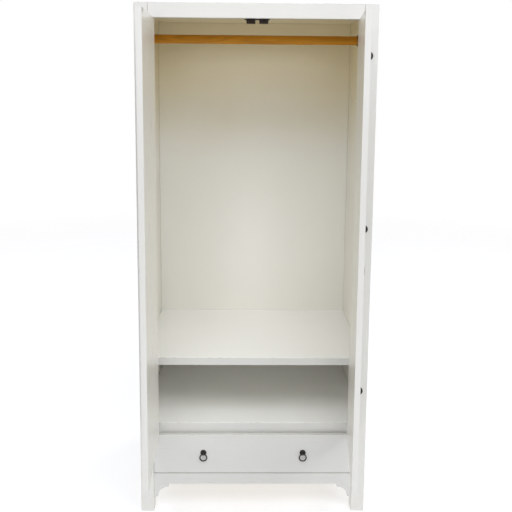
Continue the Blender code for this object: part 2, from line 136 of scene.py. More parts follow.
# Hanging rod: its eased ends, each with a nick at a share of the ease, and how uneven the turning left it
ROD_EASE = 0.0015
ROD_NICK = 0.3
ROD_RINGS = 64
ROD_SIDES = 48
ROD_UNEVEN = 0.00012
ROD_SKIN = 0.0003

# Rod sockets: a flange with a rounded rim, and a collar with a rolled lip
SOCKET_PLATE = 0.003
SOCKET_FIT = 0.0002
SOCKET_WALL = 0.0034
SOCKET_ROUND = 0.0022
SOCKET_RIM = 0.0008
SOCKET_LIP = 0.0005
SOCKET_LIP_HEIGHT = 0.003
SOCKET_CHAMFER = 0.0004
SOCKET_SCREWS = 3

# Pulls: the door's sunk dish, the drawer's domed rose, and their eyes and rings
PULL_SIDES = 56
DISH_RIM_RISE = 0.0010
DISH_RIM_WIDE = 0.0025
DISH_WALL = 0.0010
DISH_FLAT = 0.62
DISH_ROLL = 0.0014
DISH_ROUND = 0.0012
ROSE_RISE = 0.0035
ROSE_BACK = 0.0003
ROSE_EDGE = 0.0008
ROSE_BEAD_HALF = 0.0010
ROSE_BEAD_WIDE = 0.0021
ROSE_BEAD_TOP = 0.0015
ROSE_BEAD_FOOT = 0.0009
ROSE_DOME_INSET = 0.0026
ROSE_DOME_FOOT = 0.0011
ROSE_DOME_STEPS = 8
DOOR_EYE = 0.0035, 0.0010
DRAWER_EYE = 0.0043, 0.0011
DOOR_RING_THINNING = 0.10
DRAWER_RING_THINNING = 0.08

# Dovetails at the back of the drawer
DOVETAILS = 5
DOVETAIL_WIDTH = 0.0085
DOVETAIL_SHOULDER = 0.0012
DOVETAIL_PROUD = 0.00015
DOVETAIL_FLARE = 0.18

# Lacquer colours, each with its deeper tone, the warm, darker painted shade towards the top inside, and the wood
# under worn lacquer
WHITE = (0.700, 0.686, 0.645, 1), (0.684, 0.669, 0.624, 1)
# Painted shade: a darker copy of the white for the low fronts between the open doors
SHADED_WHITE = (0.620, 0.612, 0.580, 1), (0.606, 0.597, 0.563, 1)
CREAM = (0.896, 0.878, 0.808, 1), (0.883, 0.863, 0.786, 1)
# Painted light: a lighter copy of the cream for the shelves' tops
LIT_SHELF_CREAM = (0.935, 0.932, 0.895, 1), (0.925, 0.920, 0.878, 1)
DOOR_CREAM = (0.840, 0.820, 0.752, 1), (0.825, 0.803, 0.730, 1)
# Painted shade: a warmer, darker cream blended into the inside lacquer between the two heights below
WARM_SHADE = (0.850, 0.758, 0.530, 1)
WARM_SHADE_FROM = 1.28
WARM_SHADE_TO = 1.76
BARE = (0.55, 0.47, 0.34, 1)

# Camera: its place in metres, its turns in degrees, its lens and sensor in millimetres
CAMERA_PLACE = (-0.034, -2.535, 1.632)
CAMERA_PITCH = -8.0
CAMERA_TURN = -0.864
CAMERA_ROLL = 0.476
LENS = 47.95
SENSOR = 36.0
SHIFT_UP = -0.154

# Room
LIGHT_COLOUR = (0.97, 0.99, 1.04)
ROOM_LIGHT = 0.17
# Each softbox: its place, the point that it faces, its width and height, and its power in watts
SOFTBOXES = {
    "front softbox": ((0.0, -4.2, 6.3), (0, 0, 0.6), (4.0, 3.0), 208),
    "high softbox": ((0.0, -2.2, 6.6), (0, 0, 0.6), (4.0, 3.0), 37),
    "right softbox": ((3.6, -3.6, 3.8), (0, 0, 0.8), (2.5, 2.5), 106),
    "left softbox": ((-3.6, -3.6, 3.8), (0, 0, 0.8), (2.5, 2.5), 38),
    "rear left softbox": ((-3.2, 3.6, 3.8), (0, 0, 0.9), (2.5, 2.5), 110),
    "rear right softbox": ((3.2, 3.6, 3.8), (0, 0, 0.9), (2.5, 2.5), 110),
    "low softbox": ((0.0, -5.5, 2.4), (0, 0, 0.9), (4.0, 2.0), 44),
}

# Floor: a disc just under the legs, which fades out between two distances from the middle
FLOOR_DROP = 0.0002
FLOOR_SIDES = 96
FLOOR_COLOURS = (0.41, 0.416, 0.425, 1), (0.45, 0.456, 0.465, 1)
FLOOR_GLOW = 0.60
FLOOR_FADE_START = 2.2
FLOOR_FADE_END = 6.0
FLOOR_MARGIN = 0.5

# What the name of a finished piece ends with, by its slot
ENDING = {
    "ivory_lacquer": "lacquered",
    "drawer_wood": "planed",
    "plated_steel": "plated",
    "dark_metal": "blackened",
    "catch_plastic": "moulded",
}

SIDES = {"left": -1, "right": 1}
LEVELS = ("lower", "middle", "upper")
UP = Vector((0, 0, 1))
FORWARD = Vector((0, -1, 0))
BACKWARD = Vector((0, 1, 0))
SIDEWAYS = Matrix.Rotation(math.pi / 2, 4, "Y")
HANGING = Matrix.Rotation(math.pi / 2, 4, "X") @ Matrix.Rotation(-math.pi / 2, 4, "Z")
BODY_OF = {
    node: body for body, nodes in frame["record"]["behaviour"]["bodies"].items() for node in nodes
}
JOINTS = {joint["name"]: joint for joint in frame["joints"]}


# ------------------------------ node helpers


def set_inputs(tree, node, inputs):
    """Each input takes a link or a constant."""
    for key, value in inputs.items():
        if isinstance(value, bpy.types.NodeSocket):
            tree.links.new(value, node.inputs[key])
        else:
            node.inputs[key].default_value = value


def add_node(tree, kind, inputs=None, **settings):
    """A node with its settings, its constants and its links made in one go."""
    node = tree.nodes.new(kind)
    for name, value in settings.items():
        setattr(node, name, value)
    set_inputs(tree, node, inputs or {})
    return node


def calculate(tree, operation, *values):
    """One Math node."""
    inputs = dict(enumerate(values))
    return add_node(tree, "ShaderNodeMath", inputs, operation=operation).outputs[0]


def times(tree, first, second):
    """Two values multiplied."""
    return calculate(tree, "MULTIPLY", first, second)


def combine(tree, x=0.0, y=0.0, z=0.0):
    """Three numbers made a vector."""
    return add_node(tree, "ShaderNodeCombineXYZ", {0: x, 1: y, 2: z}).outputs[0]


def noise(tree, where, scale, detail=2.0, roughness=0.5, distortion=0.0):
    """Soft noise from 0 to 1."""
    inputs = {
        "Vector": where,
        "Scale": scale,
        "Detail": detail,
        "Roughness": roughness,
        "Distortion": distortion,
    }
    return add_node(tree, "ShaderNodeTexNoise", inputs).outputs["Fac"]


def between(tree, value, low, high, out_low=0.0, out_high=1.0):
    """A value stretched from one range to another, and held inside it."""
    inputs = {"Value": value, 1: low, 2: high, 3: out_low, 4: out_high}
    return add_node(tree, "ShaderNodeMapRange", inputs).outputs[0]


def smooth_between(tree, value, low, high):
    """The share of the way from low to high, easing in and out."""
    inputs = {"Value": value, 1: low, 2: high}
    return add_node(tree, "ShaderNodeMapRange", inputs, interpolation_type="SMOOTHSTEP").outputs[0]


def blend_colours(tree, share, first, second):
    """One colour where the share is 0, and the other where it is 1."""
    inputs = {0: share, 6: first, 7: second}
    return add_node(tree, "ShaderNodeMix", inputs, data_type="RGBA").outputs[2]


def arris_and_eye_share(tree):
    """1 on the arrises and on the pulls' eyes, 0 elsewhere."""
    return add_node(tree, "ShaderNodeAttribute", attribute_name="arris").outputs["Fac"]


def bump(tree, height, strength, distance, normal=None):
    """Relief over the surface, or over relief that is there already."""
    inputs = {"Height": height, "Strength": strength, "Distance": distance}
    if normal:
        inputs["Normal"] = normal
    return add_node(tree, "ShaderNodeBump", inputs).outputs[0]


def new_finish(name):
    """A material, its node tree, its shader and the piece's own coordinates."""
    material = bpy.data.materials.new(name)
    material.use_nodes = True
    tree = material.node_tree
    where = add_node(tree, "ShaderNodeTexCoord").outputs["Object"]
    return material, tree, tree.nodes["Principled BSDF"], where


def along_board(tree, where, grain, turn, drawn_out):
    """Coordinates drawn out along the board, so that a pattern on them runs with its length."""
    straight = add_node(tree, "ShaderNodeMapping", {"Vector": where, "Rotation": (0, 0, -turn)}).outputs[0]
    stretch = [drawn_out if axis == grain else 1.0 for axis in "XYZ"]
    return add_node(tree, "ShaderNodeMapping", {"Vector": straight, "Scale": stretch}).outputs[0]


# ------------------------------ finishes


def brushed_lacquer(name, colours, grain="Z", turn=0.0, gloss=0.30, painted_top_shade=False):
    """Satin lacquer with fine brush marks along the board, worn a little thin on its arrises.

    With painted_top_shade set, a warmer, darker tone is blended in towards the top: painted shade.
    """
    colour, deep_colour = colours
    material, tree, shader, where = new_finish(name)
    laid = along_board(tree, where, grain, turn, DRAWN_OUT)
    marks = noise(tree, laid, BRUSH_MARKS, 4, 0.55)
    broad = noise(tree, laid, BROAD_MARKS, 2, 0.5)
    peel = noise(tree, where, ORANGE_PEEL, 2, 0.5)
    cloud = noise(tree, where, CLOUDS, 3, 0.55, 0.4)

    shade = blend_colours(tree, between(tree, cloud, 0.3, 0.7), colour, deep_colour)
    streak = between(tree, broad, 0.35, 0.7, 0.0, 0.35)
    shade = blend_colours(tree, streak, shade, deep_colour)
    # Painted shade: the colour turns warmer and darker towards the top
    if painted_top_shade:
        height = add_node(tree, "ShaderNodeSeparateXYZ", {0: where}).outputs["Z"]
        uneven = times(tree, calculate(tree, "SUBTRACT", cloud, 0.5), 0.15)
        height = calculate(tree, "ADD", height, uneven)
        top_shade_share = smooth_between(tree, height, WARM_SHADE_FROM, WARM_SHADE_TO)
        shade = blend_colours(tree, top_shade_share, shade, WARM_SHADE)
    patch = between(tree, noise(tree, where, WORN_PATCHES, 3, 0.6), 0.50, 0.62)
    arris_and_eye_tint = times(tree, arris_and_eye_share(tree), patch)
    arris_and_eye_tint = times(tree, arris_and_eye_tint, WEAR)
    surface = bump(tree, broad, 0.20, 0.00030)
    surface = bump(tree, marks, 0.30, 0.00010, surface)
    inputs = {
        "Base Color": blend_colours(tree, arris_and_eye_tint, shade, BARE),
        "Roughness": between(tree, marks, 0.25, 0.75, gloss - 0.05, gloss + 0.07),
        "Normal": bump(tree, peel, 0.22, 0.00006, surface),
        "Specular IOR Level": 0.5,
        "Coat Weight": 0.25,
        "Coat Roughness": 0.16,
    }
    set_inputs(tree, shader, inputs)
    return material


def planed_wood(name, pale, dark, grain="X", turn=0.0, roughness=0.55, shine=0.5, rings=26.0):
    """Sawn and planed softwood: growth rings drawn out along the board, with fine fibres over them."""
    material, tree, shader, where = new_finish(name)
    laid = along_board(tree, where, grain, turn, RINGS_DRAWN_OUT)
    wander = noise(tree, laid, RING_WANDER, 3, 0.6, 0.8)
    lines = times(tree, wander, rings)
    lines = calculate(tree, "PINGPONG", lines, 1.0)
    lines = between(tree, lines, 0.25, 1.0)
    fibres = noise(tree, along_board(tree, where, grain, turn, FIBRES_DRAWN_OUT), FIBRES, 3, 0.6)
    pores = noise(tree, along_board(tree, where, grain, turn, PORES_DRAWN_OUT), PORES, 1)
    pores = between(tree, pores, 0.60, 0.72)

    shade = blend_colours(tree, times(tree, lines, 0.8), pale, dark)
    shade = blend_colours(tree, between(tree, fibres, 0.3, 0.8, 0.0, 0.35), shade, dark)
    deep = tuple(0.55 * c for c in dark[:3]) + (1.0,)
    inputs = {
        "Base Color": blend_colours(tree, times(tree, pores, 0.35), shade, deep),
        "Roughness": between(tree, fibres, 0.2, 0.8, roughness - 0.08, roughness + 0.08),
        "Normal": bump(tree, fibres, 0.35, 0.00012, bump(tree, lines, 0.15, 0.00015)),
        "Specular IOR Level": shine,
    }
    set_inputs(tree, shader, inputs)
    return material


def blackened_metal(name, dark, arris_and_eye_tint_colour, roughness=0.40, metal=0.9):
    """Cast and blackened metal, mottled, with the high edges worn brighter and the marked pull eyes painted
    brighter all over as a highlight.
    """
    material, tree, shader, where = new_finish(name)
    mottle = noise(tree, where, 420, 4, 0.6)
    pits = noise(tree, where, 1500, 2, 0.5)
    lighter = tuple(1.9 * c for c in dark[:3]) + (1.0,)
    shade = blend_colours(tree, between(tree, mottle, 0.35, 0.7), dark, lighter)
    patch = between(tree, noise(tree, where, 300, 2), 0.38, 0.58)
    # Worn high edges take the brighter colour, and the pull eyes, marked all over, take it as a painted highlight
    arris_and_eye_tint = times(tree, arris_and_eye_share(tree), patch)
    arris_and_eye_tint = times(tree, arris_and_eye_tint, 0.8)
    inputs = {
        "Base Color": blend_colours(tree, arris_and_eye_tint, shade, arris_and_eye_tint_colour),
        "Roughness": between(tree, mottle, 0.3, 0.7, roughness + 0.08, roughness - 0.08),
        "Normal": bump(tree, pits, 0.25, 0.00005, bump(tree, mottle, 0.35, 0.00012)),
        "Metallic": metal,
    }
    set_inputs(tree, shader, inputs)
    return material


def plated_metal(name, colour, roughness=0.28):
    """Zinc plating: bright, finely brushed one way and faintly clouded."""
    material, tree, shader, where = new_finish(name)
    brushed = noise(tree, along_board(tree, where, "X", 0.0, 0.02), 2600, 2, 0.5)
    cloud = noise(tree, where, 130, 3, 0.6)
    duller = tuple(0.72 * c for c in colour[:3]) + (1.0,)
    inputs = {
        "Base Color": blend_colours(tree, between(tree, cloud, 0.35, 0.7), colour, duller),
        "Roughness": between(tree, brushed, 0.25, 0.75, roughness - 0.06, roughness + 0.10),
        "Normal": bump(tree, brushed, 0.2, 0.00003),
        "Metallic": 1.0,
    }
    set_inputs(tree, shader, inputs)
    return material


def moulded_plastic(name, colour, roughness=0.42):
    """Moulded plastic with a fine spark-eroded grain, and lightened arrises as a painted highlight."""
    material, tree, shader, where = new_finish(name)
    grain = noise(tree, where, 2400, 2, 0.5)
    cloud = noise(tree, where, 60, 2, 0.5)
    lighter = tuple(1.5 * c for c in colour[:3]) + (1.0,)
    shade = blend_colours(tree, between(tree, cloud, 0.3, 0.7), colour, lighter)
    # Painted highlight: the arrises are lightened
    arris_and_eye_tint = times(tree, arris_and_eye_share(tree), 0.5)
    inputs = {
        "Base Color": blend_colours(tree, arris_and_eye_tint, shade, lighter),
        "Roughness": between(tree, grain, 0.3, 0.7, roughness - 0.05, roughness + 0.08),
        "Normal": bump(tree, grain, 0.3, 0.00004),
        "Specular IOR Level": 0.2,
    }
    set_inputs(tree, shader, inputs)
    return material


# ------------------------------ piece helpers


def link_object(name, mesh):
    """A new object in the scene."""
    thing = bpy.data.objects.new(name, mesh)
    bpy.context.scene.collection.objects.link(thing)
    return thing


def mark_arrises(shape):
    """Marks the middle of each rounded edge with 1, and everything else with 0."""
    layer = shape.verts.layers.float.new("arris")
    narrow = {}
    for face in shape.faces:
        longest = max(edge.calc_length() for edge in face.edges)
        narrow[face] = face.calc_area() / max(longest, 1e-9) < NARROW_FACE
    for vertex in shape.verts:
        vertex[layer] = 1.0 if all(narrow[face] for face in vertex.link_faces) else 0.0


def clean_copy(node):
    """A CAD piece as clean faces: its loose triangles welded, and the flat ones joined."""
    shape = bmesh.new()
    shape.from_mesh(frame["nodes"][node].data)
    bmesh.ops.remove_doubles(shape, verts=shape.verts, dist=WELD)
    bmesh.ops.dissolve_limit(shape, angle_limit=FLAT_ANGLE, verts=shape.verts, edges=shape.edges)
    return shape


def round_edges(shape, square, eased):
    """Rounds the square edges and then the edges of the flats that the maker planed."""
    for limit, ceiling, width, steps in (
        (EASED_EDGE, SQUARE_EDGE, eased, 2),
        (SQUARE_EDGE, math.pi, square, 3),
    ):
        edges = [
            edge
            for edge in shape.edges
            if len(edge.link_faces) == 2 and limit < abs(edge.calc_face_angle(0)) <= ceiling
        ]
        if edges and width:
            bmesh.ops.bevel(
                shape,
                geom=edges,
                offset=width,
                segments=steps,
                profile=0.5,
                affect="EDGES",
                clamp_overlap=True,
            )


def into_object(name, shape, look, smooth_angle=SMOOTH_ANGLE):
    """A working mesh made an object, smooth over its rounded edges and flat on its faces."""
    mesh = bpy.data.meshes.new(name)
    shape.to_mesh(mesh)
    shape.free()
    mesh.materials.clear()
    mesh.materials.append(look)
    mesh.shade_smooth()
    mesh.set_sharp_from_angle(angle=smooth_angle)
    return link_object(name, mesh)


def settle(thing):
    """Turns a piece with its modifiers into a plain mesh with the same look."""
    graph = bpy.context.evaluated_depsgraph_get()
    mesh = bpy.data.meshes.new_from_object(thing.evaluated_get(graph), depsgraph=graph)
    thing.modifiers.clear()
    thing.data = mesh
    return thing


def flatten_faces(thing):
    """Keeps the broad faces flat in the light, and puts the rounding into the narrow ones."""
    modifier = thing.modifiers.new("flat faces", "WEIGHTED_NORMAL")
    modifier.mode = "FACE_AREA"
    modifier.weight = BROAD_FACE_WEIGHT
    modifier.keep_sharp = True
    return settle(thing)


def mount(thing, body, slot, *nodes):
    """The piece moves with a body, and the CAD nodes that it stands for are hidden."""
    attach(thing, body)
    if nodes:
        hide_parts(*nodes)
    return thing


def finish_node(node, look, slot="ivory_lacquer", square=SOFT_ARRIS, eased=FINE_ARRIS):
    """The finished piece for one CAD node: the same shape, with rounded arrises."""
    shape = clean_copy(node)
    round_edges(shape, square, eased)
    mark_arrises(shape)
    thing = flatten_faces(into_object(f"{node}_{ENDING[slot]}", shape, look))
    return mount(thing, BODY_OF[node], slot, node)


def repaint(thing, look, way):
    """Gives the faces that look one way their own finish."""
    thing.data.materials.append(look)
    for face in thing.data.polygons:
        if face.normal.dot(way) > FACING:
            face.material_index = len(thing.data.materials) - 1


def turned_shape(profile, sides, place):
    """A turned piece as a working mesh: (radius, height) points round local Z, then placed."""
    shape = bmesh.new()
    rings = []
    for radius, height in profile:
        if radius == 0:
            rings.append([shape.verts.new(place @ Vector((0, 0, height)))] * sides)
            continue
        ring = []
        for k in range(sides):
            angle = math.tau * k / sides
            point = Vector((radius * math.cos(angle), radius * math.sin(angle), height))
            ring.append(shape.verts.new(place @ point))
        rings.append(ring)
    closed = profile[0][0] != 0
    for first, second in zip(rings, rings[1:] + rings[:1] if closed else rings[1:]):
        for k in range(sides):
            turn = (k + 1) % sides
            corners = dict.fromkeys([first[k], first[turn], second[turn], second[k]])
            shape.faces.new(list(corners))
    bmesh.ops.recalc_face_normals(shape, faces=shape.faces)
    return shape


def box_into(shape, centre, size):
    """A small block with eased edges, added to a working mesh."""
    block = bmesh.new()
    bmesh.ops.create_cube(block, size=1.0)
    bmesh.ops.scale(block, vec=size, verts=block.verts)
    bmesh.ops.translate(block, vec=centre, verts=block.verts)
    edges = block.edges[:]
    bmesh.ops.bevel(block, geom=edges, offset=BLOCK_EASE, segments=2, profile=0.5, affect="EDGES")
    mesh = bpy.data.meshes.new("block")
    block.to_mesh(mesh)
    block.free()
    shape.from_mesh(mesh)
    bpy.data.meshes.remove(mesh)


def bend(start, end, steps, bulge=1.0):
    """Points on a quarter of an ellipse between two profile points, both ends included."""
    points = []
    for k in range(steps + 1):
        angle = math.pi / 2 * k / steps
        across, along = math.sin(angle), 1 - math.cos(angle)
        if bulge < 0:
            across, along = 1 - math.cos(angle), math.sin(angle)
        points.append((start[0] + (end[0] - start[0]) * across, start[1] + (end[1] - start[1]) * along))
    return points


def absorb_eye(shape, thing):
    """Adds an eye to a pull's working mesh, marked all over to take a painted highlight, and removes its object.
    """
    plain = len(shape.verts)
    shape.from_mesh(thing.data)
    bpy.data.objects.remove(thing)
    shape.verts.ensure_lookup_table()
    # Painted highlight: every point of the eye is marked, so that it shows the brighter metal colour
    layer = shape.verts.layers.float.new("arris")
    for vertex in shape.verts[plain:]:
        vertex[layer] = 1.0


# ------------------------------ Geometry Nodes


def new_tree(name, inputs):
    """A tree with named inputs. Gives the tree, its inputs' sockets and their identifiers."""
    tree = bpy.data.node_groups.new(name, "GeometryNodeTree")
    tree.interface.new_socket("Geometry", in_out="OUTPUT", socket_type="NodeSocketGeometry")
    identifiers = {}
    for label, kind in inputs.items():
        socket = tree.interface.new_socket(label, in_out="INPUT", socket_type=f"NodeSocket{kind}")
        identifiers[label] = socket.identifier
    return tree, tree.nodes.new("NodeGroupInput").outputs, identifiers


def close_tree(tree, geometry, look):
    """Every tree ends the same way: real geometry with a material."""
    real = add_node(tree, "GeometryNodeRealizeInstances", {0: geometry}).outputs[0]
    painted = add_node(tree, "GeometryNodeSetMaterial", {"Geometry": real, "Material": look}).outputs[0]
    add_node(tree, "NodeGroupOutput", {0: painted})


def grow(name, recipe, values, points=()):
    """Runs a tree on a few points, each a place and a direction, and keeps the plain mesh."""
    tree, identifiers = recipe
    mesh = bpy.data.meshes.new(name)
    mesh.from_pydata([place for place, _ in points], [], [])
    facing = mesh.attributes.new("facing", "FLOAT_VECTOR", "POINT")
    for k, (_, direction) in enumerate(points):
        facing.data[k].vector = direction
    thing = link_object(name, mesh)
    modifier = thing.modifiers.new("made by rule", "NODES")
    modifier.node_group = tree
    for label, value in values.items():
        modifier[identifiers[label]] = value
    return settle(thing)


def screw_tree():
    """Low countersunk heads with a cross recess, or plain pin heads, one on each point."""
    inputs = {
        "Points": "Geometry",
        "Head radius": "Float",
        "Rise": "Float",
        "Cross recess": "Bool",
        "Seed": "Int",
        "Finish": "Material",
    }
    tree, given, identifiers = new_tree("fastener heads", inputs)
    radius, rise = given["Head radius"], given["Rise"]
    depth = calculate(tree, "ADD", rise, SCREW_BURY)
    narrow = times(tree, radius, 0.80)
    cone_inputs = {"Vertices": 24, "Radius Top": narrow, "Radius Bottom": radius, "Depth": depth}
    cone = add_node(tree, "GeometryNodeMeshCone", cone_inputs, fill_type="NGON").outputs["Mesh"]
    sunk = combine(tree, z=-SCREW_BURY)
    cone = add_node(tree, "GeometryNodeTransform", {"Geometry": cone, "Translation": sunk}).outputs[0]
    bars = []
    for order in ((1.25, 0.24), (0.24, 1.25)):
        across = times(tree, radius, order[0])
        along = times(tree, radius, order[1])
        size = combine(tree, across, along, rise)
        bar = add_node(tree, "GeometryNodeMeshCube", {"Size": size}).outputs["Mesh"]
        lift = combine(tree, z=times(tree, rise, 0.8))
        inputs = {"Geometry": bar, "Translation": lift}
        bars.append(add_node(tree, "GeometryNodeTransform", inputs).outputs[0])
    recess = add_node(tree, "GeometryNodeMeshBoolean", operation="DIFFERENCE", solver="EXACT")
    tree.links.new(cone, recess.inputs["Mesh 1"])
    for bar in bars:
        tree.links.new(bar, recess.inputs["Mesh 2"])
    inputs = {"Switch": given["Cross recess"], "False": cone, "True": recess.outputs["Mesh"]}
    head = add_node(tree, "GeometryNodeSwitch", inputs, input_type="GEOMETRY").outputs[0]
    facing = add_node(tree, "GeometryNodeInputNamedAttribute", {"Name": "facing"}, data_type="FLOAT_VECTOR")
    aim = add_node(tree, "FunctionNodeAlignRotationToVector", {"Vector": facing.outputs[0]}, axis="Z")
    chance = add_node(tree, "FunctionNodeRandomValue", {2: 0.0, 3: math.tau, "Seed": given["Seed"]})
    spin = add_node(tree, "FunctionNodeAxisAngleToRotation", {"Axis": UP, "Angle": chance.outputs[1]})
    inputs = {"Rotation": aim.outputs[0], "Rotate By": spin.outputs[0]}
    driven = add_node(tree, "FunctionNodeRotateRotation", inputs, rotation_space="LOCAL").outputs[0]
    inputs = {"Points": given["Points"], "Instance": head, "Rotation": driven}
    placed = add_node(tree, "GeometryNodeInstanceOnPoints", inputs).outputs[0]
    close_tree(tree, placed, given["Finish"])
    return tree, identifiers


def ring_tree():
    """A ring of round wire about local Z, thicker on the side where it is pulled."""
    inputs = {
        "Start": "Geometry",
        "Ring radius": "Float",
        "Wire radius": "Float",
        "Thinning": "Float",
        "Turn": "Rotation",
        "Centre": "Vector",
        "Finish": "Material",
    }
    tree, given, identifiers = new_tree("pulled ring", inputs)
    inputs = {"Resolution": 72, "Radius": given["Ring radius"]}
    line = add_node(tree, "GeometryNodeCurvePrimitiveCircle", inputs, mode="RADIUS").outputs["Curve"]
    along = add_node(tree, "GeometryNodeSplineParameter").outputs["Factor"]
    wave = calculate(tree, "COSINE", times(tree, along, math.tau))
    thin = times(tree, calculate(tree, "SUBTRACT", 1.0, wave), given["Thinning"])
    share = calculate(tree, "SUBTRACT", 1.0, thin)
    line = add_node(tree, "GeometryNodeSetCurveRadius", {"Curve": line, "Radius": share}).outputs[0]
    inputs = {"Resolution": 20, "Radius": given["Wire radius"]}
    wire = add_node(tree, "GeometryNodeCurvePrimitiveCircle", inputs, mode="RADIUS").outputs["Curve"]
    inputs = {"Curve": line, "Profile Curve": wire}
    swept = add_node(tree, "GeometryNodeCurveToMesh", inputs)
    if "Scale" in swept.inputs:
        tree.links.new(share, swept.inputs["Scale"])
    inputs = {"Geometry": swept.outputs[0], "Rotation": given["Turn"], "Translation": given["Centre"]}
    placed = add_node(tree, "GeometryNodeTransform", inputs).outputs[0]
    smooth = add_node(tree, "GeometryNodeSetShadeSmooth", {"Geometry": placed}).outputs[0]
    close_tree(tree, smooth, given["Finish"])
    return tree, identifiers


def dovetail_tree():
    """End-grain pins of a dovetailed corner, one on each point, narrower towards the corner."""
    inputs = {
        "Points": "Geometry",
        "Length": "Float",
        "Width": "Float",
        "Proud": "Float",
        "Flare": "Float",
        "Finish": "Material",
    }
    tree, given, identifiers = new_tree("dovetail pins", inputs)
    thick = times(tree, given["Proud"], 2.0)
    size = combine(tree, thick, given["Length"], given["Width"])
    block = add_node(tree, "GeometryNodeMeshCube", {"Size": size}).outputs["Mesh"]
    place = add_node(tree, "GeometryNodeInputPosition").outputs[0]
    parts = add_node(tree, "ShaderNodeSeparateXYZ", {0: place}).outputs
    side = calculate(tree, "SIGN", parts[1])
    spread = times(tree, times(tree, parts[2], side), given["Flare"])
    shift = combine(tree, z=times(tree, spread, -1.0))
    tapered = add_node(tree, "GeometryNodeSetPosition", {"Geometry": block, "Offset": shift}).outputs[0]
    inputs = {"Points": given["Points"], "Instance": tapered}
    placed = add_node(tree, "GeometryNodeInstanceOnPoints", inputs).outputs[0]
    close_tree(tree, placed, given["Finish"])
    return tree, identifiers


# ------------------------------ the wardrobe's finishes

LACQUER = {
    grain: brushed_lacquer(f"ivory lacquer brushed along {grain}", WHITE, grain) for grain in "XYZ"
}
# Painted shade: the drawer front, the apron and the shelves' front edges take this darker copy of the white
SHADED_FRONT = brushed_lacquer("ivory lacquer of the low fronts", SHADED_WHITE, "X")
# The inside lacquer takes the painted warm shade towards the top
INSIDE = {
    grain: brushed_lacquer(f"cream inside lacquer along {grain}", CREAM, grain, gloss=INSIDE_GLOSS, painted_top_shade=True)
    for grain in "XYZ"
}
# Painted light: the upward faces of the shelves take this lighter copy of the cream
LIT_SHELF_TOP = brushed_lacquer("cream lacquer on the shelves", LIT_SHELF_CREAM, "X", gloss=INSIDE_GLOSS)
DOOR_INSIDE = brushed_lacquer("cream lacquer inside the doors", DOOR_CREAM, "Z")
PALE_WOOD = {
    grain: planed_wood(
        f"planed drawer wood along {grain}", (0.74, 0.62, 0.44, 1), (0.60, 0.45, 0.28, 1), grain
    )
    for grain in "XY"
}
END_GRAIN = planed_wood(
    "drawer wood end grain", (0.58, 0.43, 0.27, 1), (0.42, 0.29, 0.16, 1), "Z", roughness=0.7, rings=60.0
)
ROD_WOOD = planed_wood(
    "oiled amber rod wood", (0.60, 0.252, 0.012, 1), (0.45, 0.178, 0.009, 1), "X", roughness=0.5, shine=0.22
)
BLACK = blackened_metal("blackened iron", (0.030, 0.028, 0.024, 1), (0.32, 0.30, 0.26, 1))
STEEL = plated_metal("zinc plate", (0.60, 0.59, 0.55, 1))
SCREW_METAL = plated_metal("dulled screw zinc", (0.36, 0.34, 0.29, 1), 0.36)
PLASTIC = moulded_plastic("dark brown moulding", (0.014, 0.008, 0.005, 1))
MAGNET = moulded_plastic("pressed magnet", (0.018, 0.011, 0.007, 1), 0.6)

SCREW = screw_tree()
RING = ring_tree()
DOVETAIL = dovetail_tree()


# ------------------------------ carcass


def fasten(name, spots, size, look, body, slot, rise=SCREW_RISE, crossed=True, seed=SCREW_SEED):
    """Screws or pins on a body. Each spot is a place on a surface and the way that the head faces."""
    values = {
        "Head radius": size,
        "Rise": rise,
        "Cross recess": crossed,
        "Seed": seed,
        "Finish": look,
    }
    return mount(grow(name, SCREW, values, spots), body, slot)


def make_carcass():
    """Posts, rails, panels and shelves, ivory outside and cream inside."""
    for side, sign in SIDES.items():
        for row in ("front", "rear"):
            finish_node(f"{row}_{side}_post", LACQUER["Z"])
        for row in ("top", "lower"):
            thing = finish_node(f"{row}_{side}_rail", LACQUER["Y"])
            repaint(thing, INSIDE["Y"], Vector((-sign, 0, 0)))
        thing = finish_node(f"{side}_side_panel", LACQUER["Z"], square=FINE_ARRIS)
        repaint(thing, INSIDE["Z"], Vector((-sign, 0, 0)))
        finish_node(f"{side}_drawer_runner", PALE_WOOD["Y"], "drawer_wood")
    for node in ("top_front_rail", "top_rear_rail"):
        finish_node(node, LACQUER["X"])
    # The apron takes painted shade
    finish_node("apron", SHADED_FRONT)
    for node in ("main_shelf", "lower_board"):
        thing = finish_node(node, INSIDE["X"])
        # Painted shade on the shelves' front edges
        repaint(thing, SHADED_FRONT, FORWARD)
        # Painted light on the shelves' tops
        repaint(thing, LIT_SHELF_TOP, UP)
    thing = finish_node("top_panel", LACQUER["X"])
    repaint(thing, INSIDE["X"], -UP)
    thing = finish_node("back_panel", LACQUER["Z"], square=FINE_ARRIS)
    repaint(thing, INSIDE["Z"], FORWARD)


def make_back_pins():
    """Panel pins through the back panel into each shelf, between the rear posts."""
    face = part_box("back_panel")[1].y
    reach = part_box("rear_right_post")[0].x - PIN_MARGIN
    count = round(2 * reach / PIN_SPACING)
    spots = []
    for node in ("main_shelf", "lower_board"):
        shelf_low, shelf_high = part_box(node)
        height = (shelf_low.z + shelf_high.z) / 2
        for k in range(count + 1):
            x = reach * (2 * k / count - 1)
            spots.append((Vector((x, face, height)), BACKWARD))
    fasten("back_panel_pins", spots, PIN_HEAD, SCREW_METAL, "carcass", "plated_steel", PIN_RISE, False)


